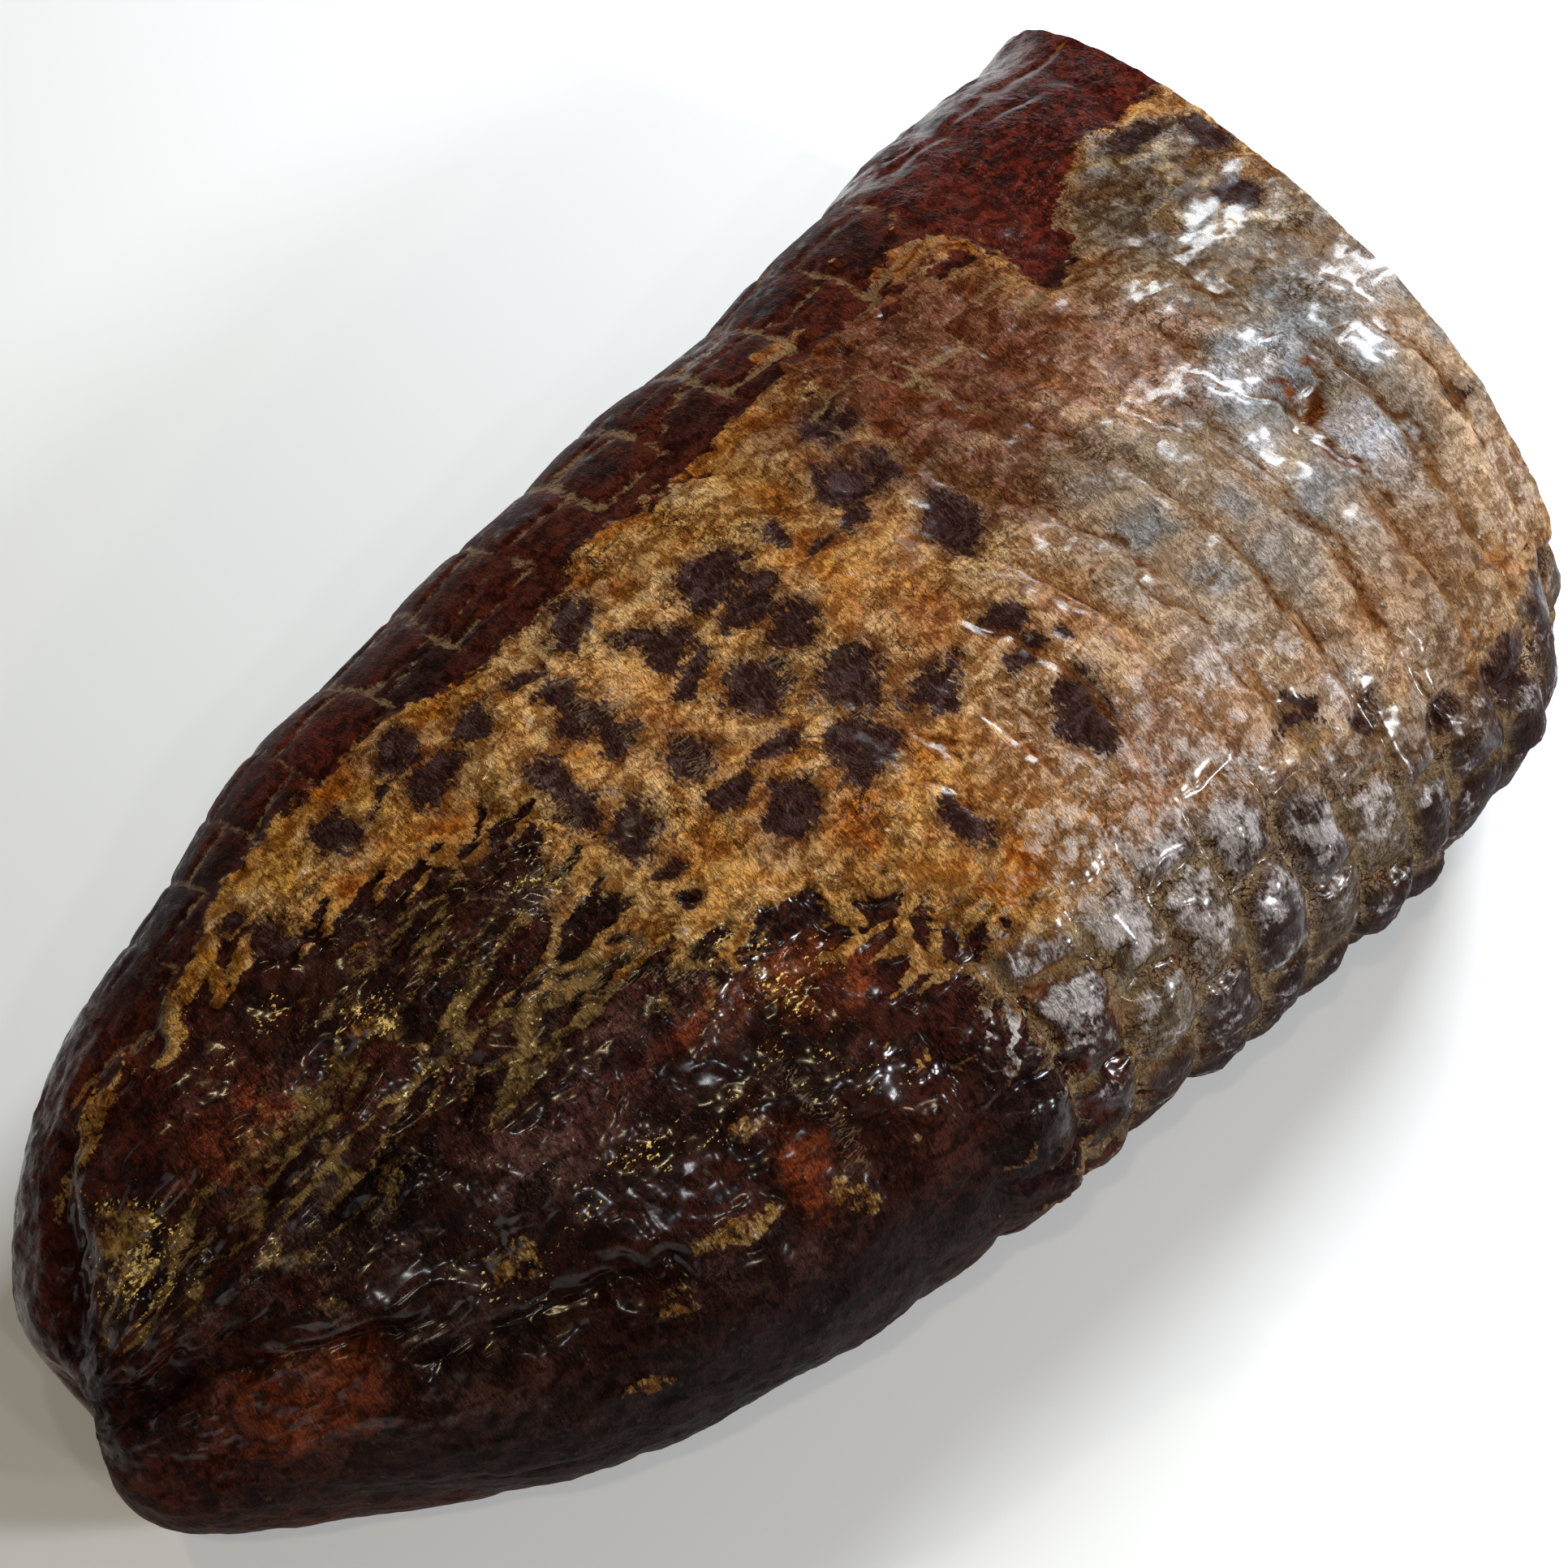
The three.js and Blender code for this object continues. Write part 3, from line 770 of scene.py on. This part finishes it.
def note_values(piece, name, values, kind="FLOAT"):
    """Keeps one value or colour for each corner, for the material to read."""
    attribute = piece.data.attributes.new(name, kind, "POINT")
    field = "color" if kind == "FLOAT_COLOR" else "value"
    attribute.data.foreach_set(field, np.asarray(values, np.float32).ravel())


def with_tip(values):
    """The values of the rings, with the tip's own put before them."""
    flat = values.reshape(len(rows) * COLUMNS, -1)
    return np.vstack([flat[:COLUMNS].mean(axis=0), flat])


def with_alpha(colours):
    flat = with_tip(colours)
    return np.hstack([flat, np.ones((len(flat), 1))])


skin_values = {
    "fat": fat, "film": film, "oval": oval, "net": net, "light_net": light_net, "vein": vein,
    "frost_and_highlight": frost_and_highlight, "wet": wet, "golden": 1 - np.maximum(0.85 * on_pale, wall),
    "wrinkling": wrinkling, "bareness": bareness,
}
for name, values in skin_values.items():
    note_values(cured_skin, name, with_tip(values))
note_values(cured_skin, "fat_colour", with_alpha(fat_colour), "FLOAT_COLOR")
note_values(cured_skin, "meat_colour", with_alpha(meat_colour), "FLOAT_COLOR")


def add_node(tree, kind, feeds=(), **settings):
    """Adds a node with some settings, and feeds its inputs with values or other nodes' outputs."""
    made = tree.nodes.new(kind)
    for name, value in settings.items():
        setattr(made, name, value)
    for socket, source in dict(feeds).items():
        if isinstance(source, bpy.types.NodeSocket):
            tree.links.new(source, made.inputs[socket])
        else:
            made.inputs[socket].default_value = source
    return made


def maths(tree, operation, first, second=0.0):
    return add_node(tree, "ShaderNodeMath", {0: first, 1: second}, operation=operation).outputs[0]


def eased(tree, value, low, high, at_high=1.0, at_low=0.0):
    """Turns a value into one that changes smoothly from a low limit to a high one."""
    feeds = {"Value": value, "From Min": low, "From Max": high, "To Min": at_low, "To Max": at_high}
    made = add_node(tree, "ShaderNodeMapRange", feeds, interpolation_type="SMOOTHSTEP")
    return made.outputs["Result"]


def winding(tree, value, outer, inner, at_middle=1.0, middle=0.5):
    """Thin winding lines where a value passes its middle, faded out at the outer distance."""
    gap = maths(tree, "ABSOLUTE", maths(tree, "SUBTRACT", value, middle))
    return eased(tree, gap, outer, inner, at_middle)


def blended(tree, share, first, second, way="MIX"):
    feeds = {0: share}
    for index, source in ((6, first), (7, second)):
        feeds[index] = source if isinstance(source, bpy.types.NodeSocket) else (*source, 1)
    made = add_node(tree, "ShaderNodeMix", feeds, data_type="RGBA", blend_type=way)
    return made.outputs[2]


def noted(tree, name, output="Fac"):
    return add_node(tree, "ShaderNodeAttribute", attribute_name=name).outputs[output]


def grain(tree, size, stretch=(1, 1, 1), detail=4.0, roughness=0.6, distortion=0.0):
    """Noise in the solid of the piece, with grains of a size in mm, longer where stretched."""
    place = add_node(tree, "ShaderNodeTexCoord").outputs["Object"]
    scale = [1 / (MM * size * along_axis) for along_axis in stretch]
    scaled = add_node(tree, "ShaderNodeVectorMath", {0: place, 1: scale}, operation="MULTIPLY")
    feeds = {"Vector": scaled.outputs[0], "Scale": 1.0}
    feeds.update({"Detail": detail, "Roughness": roughness, "Distortion": distortion})
    return add_node(tree, "ShaderNodeTexNoise", feeds).outputs["Fac"]


def crinkle_group():
    """A shrunk surface's own patterns, from broad clouds and folds down to fibres and grit."""
    group = bpy.data.node_groups.new("crinkles", "ShaderNodeTree")
    clouds = grain(group, 3.2, (1.3, 1, 1), roughness=0.55, distortion=0.6)
    crumpled = grain(group, 5.0, (1.3, 1, 1), roughness=0.55, distortion=1.4)
    split = grain(group, 2.2, (1.3, 1, 1), detail=3.0, roughness=0.55, distortion=0.8)
    fibres = grain(group, 1.2, (0.7, 2.0, 2.0), detail=3.0, distortion=1.0)
    grit = grain(group, 0.95, detail=2.5, roughness=0.75, distortion=0.3)
    folds = grain(group, 2.5, (0.8, 1.2, 1.2), detail=1.6, roughness=0.5, distortion=0.6)
    streaks = grain(group, 1.3, (0.7, 2.6, 2.6), detail=1.2, roughness=0.5, distortion=0.6)
    drawn = grain(group, 2.4, (0.8, 1.7, 1.7), detail=2.0, roughness=0.55, distortion=1.0)
    combed = grain(group, 1.7, (3.2, 0.9, 0.9), detail=2.5, roughness=0.55, distortion=1.0)
    wide_cracks = winding(group, crumpled, 0.03, 0.008)
    fine_cracks = winding(group, split, 0.03, 0.01, 0.8, middle=0.47)
    patterns = {
        "clouds": eased(group, clouds, 0.33, 0.67),
        "cracks": maths(group, "MAXIMUM", wide_cracks, fine_cracks),
        "fibres": eased(group, fibres, 0.34, 0.66),
        "grit": maths(group, "SUBTRACT", grit, 0.5),
        "folds": folds,
        "streaks": streaks,
        "creases": winding(group, streaks, 0.035, 0.006),
        "lines": winding(group, drawn, 0.055, 0.015),
        "strings": winding(group, combed, 0.05, 0.01),
    }
    out = group.nodes.new("NodeGroupOutput")
    for name, pattern in patterns.items():
        group.interface.new_socket(name, in_out="OUTPUT", socket_type="NodeSocketFloat")
        group.links.new(pattern, out.inputs[name])
    return group


crinkles = crinkle_group()


def new_material(name):
    material = bpy.data.materials.new(name)
    material.use_nodes = True
    tree = material.node_tree
    return material, tree, tree.nodes["Principled BSDF"]


OVAL_DARK = colour(34, 15, 15)
OVAL_THREAD = colour(96, 66, 50)
OVAL_VEIL = colour(88, 66, 68)
VEIN_PALE = colour(186, 158, 116)
# Frost of salt and fat, also used as painted highlight
FROST_AND_HIGHLIGHT_TONE = colour(192, 182, 180)
NET_TAN = colour(128, 101, 70)
GROOVE_TINT = (0.6, 0.38, 0.18)
PALE_DARKER = (0.8, 0.77, 0.72)
PALE_LIGHTER = (1.24, 1.23, 1.22)
GOLDEN_DARKER = (0.56, 0.38, 0.2)
GOLDEN_LIGHTER = (1.38, 1.36, 1.3)
MEAT_DARKER = (0.45, 0.36, 0.32)
MEAT_LIGHTER = (1.5, 1.25, 1.1)
DEEP_AMBER = colour(66, 31, 9)
# Dust with painted sheen on the meat
DUST_AND_SHEEN_GREY = colour(112, 90, 84)
FILM_OLIVE = colour(116, 90, 50)
FILM_DARK = colour(62, 42, 20)
# Gold specks painted as glints of the lamps on the wet meat
GOLD_GLINT = colour(226, 190, 112)
CRACK_BROWN = colour(52, 28, 14)
NEAR_BLACK = colour(18, 10, 8)

SKIN_IOR = 1.42
SKIN_SPECULAR = 0.03
GLAZE_ROUGHNESS = 0.15
GLAZE_IOR = 1.5
SKIN_BUMP = 0.6 * MM

skin_material, tree, surface = new_material("cured_skin")
crinkled = add_node(tree, "ShaderNodeGroup", node_tree=crinkles).outputs
clouds, cracks, fibres, grit, folds, streaks, creases, lines, strings = crinkled
broken = maths(tree, "SUBTRACT", grain(tree, 2.6, roughness=0.64), 0.5)
shredded = maths(tree, "SUBTRACT", fibres, 0.5)
sparks = maths(tree, "SUBTRACT", grain(tree, 1.0, (1.3, 0.8, 0.8), detail=2.5, roughness=0.65), 0.5)


def weighed(tree, *parts):
    """The sum of some values, each with its weight."""
    total = None
    for value, weight in parts:
        part = maths(tree, "MULTIPLY", value, weight)
        total = part if total is None else maths(tree, "ADD", total, part)
    return total


# Fat: darker and lighter in clouds of its own tone and, as painted shade and painted highlight, where the
# bump's small streaks sink and rise, most so where it is golden, and cracked
fat_ground = noted(tree, "fat_colour", "Color")
risen_tone_and_shading = weighed(tree, (clouds, 0.55), (fibres, 0.14), (lines, 0.06), (streaks, 0.5), (grit, 0.2))
golden = noted(tree, "golden")
darkening = blended(tree, golden, PALE_DARKER, GOLDEN_DARKER)
fat_dark = blended(tree, 1, fat_ground, darkening, "MULTIPLY")
lightening = blended(tree, golden, PALE_LIGHTER, GOLDEN_LIGHTER)
fat_light = blended(tree, 1, fat_ground, lightening, "MULTIPLY")
fat_final = blended(tree, eased(tree, risen_tone_and_shading, 0.35, 0.85), fat_dark, fat_light)
fat_final = blended(tree, eased(tree, broken, 0.1, 0.2, 0.45), fat_final, fat_dark)
cracked = maths(tree, "MULTIPLY", cracks, noted(tree, "wrinkling"))
fat_final = blended(tree, cracked, fat_final, CRACK_BROWN)

# The frost and painted highlight, broken up by clouds and grain
frost_and_highlight_value = weighed(tree, (noted(tree, "frost_and_highlight"), 1), (clouds, 0.35), (fibres, 0.25), (broken, 1.4))
fat_final = blended(tree, eased(tree, frost_and_highlight_value, 0.5, 1.1, 0.62), fat_final, FROST_AND_HIGHLIGHT_TONE)

# Ovals with shredded edges, under a mauve veil and a few threads
oval_value = weighed(tree, (noted(tree, "oval"), 1), (shredded, 0.22), (broken, 0.6))
oval_colour = blended(tree, eased(tree, fibres, 0.6, 1.0, 0.12), OVAL_DARK, OVAL_THREAD)
oval_colour = blended(tree, eased(tree, clouds, 0.6, 1.0, 0.3), oval_colour, OVAL_VEIL)
oval_colour = blended(tree, maths(tree, "MULTIPLY", lines, 0.16), oval_colour, OVAL_THREAD)
fat_final = blended(tree, eased(tree, oval_value, 0.47, 0.58, 0.97), fat_final, oval_colour)

# Meat: near black in its pits, partly as painted shade, dust and painted sheen in places, under films of
# fat with small golden specks painted as glints
meat_ground = noted(tree, "meat_colour", "Color")
meat_dark = blended(tree, 1, meat_ground, MEAT_DARKER, "MULTIPLY")
meat_light = blended(tree, 1, meat_ground, MEAT_LIGHTER, "MULTIPLY")
meat_final = blended(tree, eased(tree, risen_tone_and_shading, 0.35, 0.85), meat_dark, meat_light)
meat_final = blended(tree, eased(tree, broken, 0.1, 0.24, 0.18), meat_final, DUST_AND_SHEEN_GREY)
meat_final = blended(tree, maths(tree, "MULTIPLY", cracked, 0.7), meat_final, NEAR_BLACK)
film_value = weighed(tree, (noted(tree, "film"), 1), (broken, 0.6), (strings, 0.16))
# The film, too, is darker as painted shade where the bump's streaks sink
film_colour = blended(tree, eased(tree, risen_tone_and_shading, 0.35, 0.8), FILM_DARK, FILM_OLIVE)
meat_final = blended(tree, eased(tree, film_value, 0.5, 0.72, 0.85), meat_final, film_colour)

# Painted glints: small golden specks where the meat is wet and filmed
glint_value = weighed(tree, (noted(tree, "wet"), 0.32), (film_value, 0.17), (sparks, 1))
on_meat = eased(tree, noted(tree, "bareness"), 0.0, 0.3, 0.9)
glint_share = maths(tree, "MULTIPLY", eased(tree, glint_value, 0.455, 0.5), on_meat)
meat_final = blended(tree, glint_share, meat_final, GOLD_GLINT)

fat_value = weighed(tree, (noted(tree, "fat"), 1), (broken, 0.7), (shredded, 0.1))
fat_share = eased(tree, fat_value, 0.44, 0.58)
all_over = blended(tree, fat_share, meat_final, fat_final)

# Marks of the net: tan on the lean, the mauve fat and the wall, elsewhere amber with deep brown
net_value = weighed(tree, (noted(tree, "net"), 1), (broken, 0.6), (shredded, 0.1))
groove_colour = blended(tree, 1, fat_ground, GROOVE_TINT, "MULTIPLY")
light_net = noted(tree, "light_net")
net_colour = blended(tree, light_net, groove_colour, NET_TAN)
all_over = blended(tree, eased(tree, net_value, 0.66, 0.84, 0.75), all_over, net_colour)
net_deep = maths(tree, "SUBTRACT", eased(tree, net_value, 0.82, 0.98, 0.85), light_net)
net_bottom = maths(tree, "MULTIPLY", maths(tree, "MAXIMUM", net_deep, 0.0), fat_share)
all_over = blended(tree, net_bottom, all_over, DEEP_AMBER)
vein_near = weighed(tree, (noted(tree, "vein"), 1), (broken, 1))
vein_value = maths(tree, "MULTIPLY", strings, eased(tree, vein_near, 0.6, 0.95))
all_over = blended(tree, maths(tree, "MULTIPLY", vein_value, 0.22), all_over, VEIN_PALE)

# Fine grit all over, with painted highlight on the raised lines and painted shade in the sunken creases
grit_and_shading = weighed(tree, (grit, 1.15), (lines, 0.2), (creases, -0.4))
grit_and_shading = maths(tree, "ADD", grit_and_shading, 1.01)
all_over = blended(tree, 1, all_over, grit_and_shading, "MULTIPLY")
tree.links.new(all_over, surface.inputs["Base Color"])

# The shine: a glaze that is strong where the skin is wet, broken by small smooth folds
wet_value = weighed(tree, (noted(tree, "wet"), 1), (broken, 0.9))
tree.links.new(eased(tree, wet_value, 0.12, 0.55, at_low=0.5, at_high=0.1), surface.inputs["Roughness"])
surface.inputs["IOR"].default_value = SKIN_IOR
surface.inputs["Specular IOR Level"].default_value = SKIN_SPECULAR
tree.links.new(eased(tree, wet_value, 0.22, 0.6, at_low=0.04, at_high=0.5), surface.inputs["Coat Weight"])
surface.inputs["Coat Roughness"].default_value = GLAZE_ROUGHNESS
surface.inputs["Coat IOR"].default_value = GLAZE_IOR

folding = weighed(tree, (noted(tree, "wrinkling"), 1), (noted(tree, "bareness"), 0.3))
folded = maths(tree, "MULTIPLY", folds, folding)
height = weighed(tree, (folded, 2.0), (streaks, 0.5), (lines, 0.24), (creases, -0.15))
bump = add_node(tree, "ShaderNodeBump", {"Distance": SKIN_BUMP, "Height": height})
tree.links.new(bump.outputs["Normal"], surface.inputs["Normal"])

cured_skin.data.materials.append(skin_material)
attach(cured_skin, "root")
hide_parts("cecina")


# The cut face is where the knife went straight across the thick end. It shows dry garnet lean
# with fine marbling, seams of membrane between the muscles, and the fat cover's edge on top.

CUT_RINGS = 48
CUT_HOLLOW = 1.2
FAT_RIM_THINNEST = -4.0
FAT_RIM_GAIN = 12.5
FAT_RIM_SOFT = 8
DRY_RIM = 9
CUT_ROUGHNESS = 0.32
CUT_BUMP = 0.2 * MM

rim = skin[-1]
middle = rim.mean(axis=0)
inward = np.linspace(0, 1, CUT_RINGS, endpoint=False)[:, None, None]
cut = rim[None] * (1 - inward) + middle * inward
cut[..., 0] -= CUT_HOLLOW * step(0, 0.25, inward[..., 0])
cut_corners = np.vstack([cut.reshape(-1, 3), middle - [CUT_HOLLOW, 0, 0]])
last = (CUT_RINGS - 1) * COLUMNS
centre = len(cut_corners) - 1
cut_faces = ring_faces(CUT_RINGS)
cut_faces += [(last + c, last + (c + 1) % COLUMNS, centre) for c in range(COLUMNS)]
cut_face = make_mesh("cut_face", cut_corners, cut_faces)

depth_in = np.linalg.norm(cut - rim[None], axis=2)
fat_thickness = FAT_RIM_THINNEST + FAT_RIM_GAIN * near(turn[-1], 125, 95)
cut_fat = np.clip(0.5 + (fat_thickness - depth_in) / FAT_RIM_SOFT, 0, 1)
cut_dry = falling(depth_in, DRY_RIM)
note_values(cut_face, "fat", np.append(cut_fat.ravel(), 0))
note_values(cut_face, "dry", np.append(cut_dry.ravel(), 0))

GARNET = colour(92, 30, 27)
DEEP_GARNET = colour(62, 20, 19)
DRY_GARNET = colour(38, 17, 14)
CUT_FAT = colour(176, 140, 92)
MARBLING = colour(150, 96, 78)

cut_material, tree, surface = new_material("cut_face")
crinkled = add_node(tree, "ShaderNodeGroup", node_tree=crinkles).outputs
fields = grain(tree, 16.0, detail=3.0, distortion=0.6)
garnet = blended(tree, eased(tree, fields, 0.38, 0.62), GARNET, DEEP_GARNET)
garnet = blended(tree, noted(tree, "dry"), garnet, DRY_GARNET)
streaky = grain(tree, 9.0, (3, 1, 1), detail=5.0, distortion=1.2)
marbled = winding(tree, streaky, 0.012, 0, 0.7)
scattered = eased(tree, grain(tree, 7.0), 0.46, 0.58)
garnet = blended(tree, maths(tree, "MULTIPLY", marbled, scattered), garnet, MARBLING)
seamed = grain(tree, 34.0, detail=2.0, roughness=0.4, distortion=0.5)
seamed = winding(tree, seamed, 0.006, 0.001, 0.6)
garnet = blended(tree, seamed, garnet, MARBLING)
edge = maths(tree, "SUBTRACT", grain(tree, 4.0, detail=5.0), 0.5)
fat_value = maths(tree, "ADD", noted(tree, "fat"), maths(tree, "MULTIPLY", edge, 0.5))
whole = blended(tree, eased(tree, fat_value, 0.46, 0.54), garnet, CUT_FAT)
tree.links.new(whole, surface.inputs["Base Color"])
surface.inputs["Roughness"].default_value = CUT_ROUGHNESS
bump = add_node(tree, "ShaderNodeBump", {"Distance": CUT_BUMP, "Height": crinkled["fibres"]})
tree.links.new(bump.outputs["Normal"], surface.inputs["Normal"])

cut_face.data.materials.append(cut_material)
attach(cut_face, "root")


# The camera looks down on the fat side, with the nose at the lower left.

CAMERA_TARGET = Vector((0.0033, -0.0075, 0.062))
CAMERA_DISTANCE = 0.56
CAMERA_ELEVATION = 60
CAMERA_HEADING = 47
SENSOR = 36.0
LENS = 65.2


def direction(heading, elevation):
    """A way in space, from a heading round from +X and an elevation, both in degrees."""
    level = math.cos(elevation * DEGREE)
    return Vector((
        math.cos(heading * DEGREE) * level,
        math.sin(heading * DEGREE) * level,
        math.sin(elevation * DEGREE),
    ))


look = direction(CAMERA_HEADING, -CAMERA_ELEVATION)
camera_data = bpy.data.cameras.new("camera")
camera_data.sensor_width = SENSOR
camera_data.lens = LENS
camera = add_object("camera", camera_data)
camera.location = CAMERA_TARGET - look * CAMERA_DISTANCE
camera.rotation_euler = look.to_track_quat("-Z", "Y").to_euler()
bpy.context.scene.camera = camera


# The studio: a pale floor, one large soft light from the cut's side, a smaller one from the fat
# side, a weak fill from the nose, and small lamps and spots that make the wet places glint.

FLOOR_REACH = 2.0
FLOOR_COLOUR = colour(238, 238, 238)
FLOOR_ROUGHNESS = 0.8
SKY_TINT = (0.95, 0.97, 1.0, 1)
SKY_STRENGTH = 0.05

# Name, heading, elevation, distance and size in metres, power and tint
LIGHTS = [
    ("window", 16, 38, 1.0, 0.32, 11.6, (0.89, 0.95, 1.0)),
    ("side", -62, 30, 1.1, 0.13, 6.0, (0.93, 0.97, 1.0)),
    ("lamp", -150, 70, 1.2, 0.045, 1.2, (1.0, 0.82, 0.5)),
    ("second lamp", 112, 58, 1.2, 0.045, 1.0, (1.0, 0.8, 0.45)),
    ("third lamp", -94, 38, 1.2, 0.045, 0.9, (1.0, 0.88, 0.62)),
    ("spot", -101, 54, 1.2, 0.035, 0.7, (0.97, 0.98, 1.0)),
    ("second spot", -128, 52, 1.2, 0.035, 0.7, (0.95, 0.97, 1.0)),
    ("low side", -68, 17, 1.2, 0.05, 1.6, (0.95, 0.97, 1.0)),
    ("fill", -168, 35, 1.4, 0.5, 1.2, (1.0, 0.97, 0.93)),
]

floor_mesh = bpy.data.meshes.new("floor")
floor_corners = [(-1, -1, 0), (1, -1, 0), (1, 1, 0), (-1, 1, 0)]
floor_corners = [Vector(corner) * FLOOR_REACH for corner in floor_corners]
floor_mesh.from_pydata(floor_corners, [], [(0, 1, 2, 3)])
floor = add_object("floor", floor_mesh)
floor_material, tree, surface = new_material("floor")
surface.inputs["Base Color"].default_value = (*FLOOR_COLOUR, 1)
surface.inputs["Roughness"].default_value = FLOOR_ROUGHNESS
floor_mesh.materials.append(floor_material)


def add_light(name, heading, elevation, distance, size, power, tint):
    """A soft square of light aimed at the piece, from a heading round it and an elevation."""
    data = bpy.data.lights.new(name, "AREA")
    data.shape = "SQUARE"
    data.size = size
    data.energy = power
    data.color = tint
    away = direction(heading, elevation)
    light = add_object(name, data)
    light.location = CAMERA_TARGET + away * distance
    light.rotation_euler = (-away).to_track_quat("-Z", "Y").to_euler()


for light in LIGHTS:
    add_light(*light)

world = bpy.data.worlds.new("studio")
world.use_nodes = True
sky = world.node_tree.nodes["Background"]
sky.inputs["Color"].default_value = SKY_TINT
sky.inputs["Strength"].default_value = SKY_STRENGTH
bpy.context.scene.world = world
bpy.context.scene.view_settings.view_transform = "Standard"
